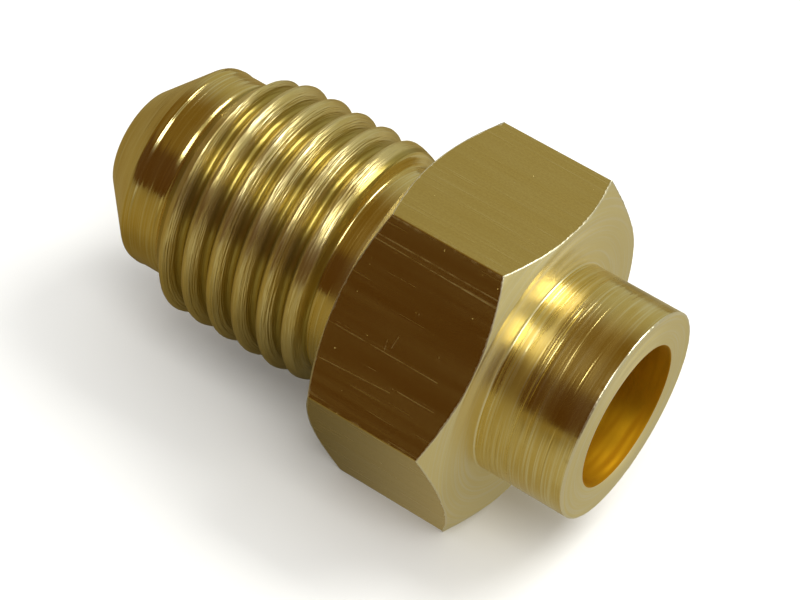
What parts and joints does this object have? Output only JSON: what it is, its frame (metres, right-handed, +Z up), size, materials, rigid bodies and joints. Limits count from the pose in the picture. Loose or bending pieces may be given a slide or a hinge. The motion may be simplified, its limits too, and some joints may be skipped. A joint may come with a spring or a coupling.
{
  "type": "flare fitting",
  "caption": "Brass half-union turned from hexagon bar: a 45 degree male flare with 7/16-20 UNF thread at one end and a solder socket for 1/4 in tube at the other.",
  "frame": {"origin": "on the fitting's axis, halfway between the flare tip and the solder end", "axes": "+X along the axis towards the solder end, -X towards the flare nose, +Z up with one hexagon flat facing down"},
  "size_m": [0.0242, 0.0162, 0.014],
  "materials": {
    "turned_brass": "bright turned and drawn brass, fine tool marks, semi-gloss"
  },
  "bodies": {
    "root": {"fitting_body": "turned_brass"}
  },
  "joints": []
}
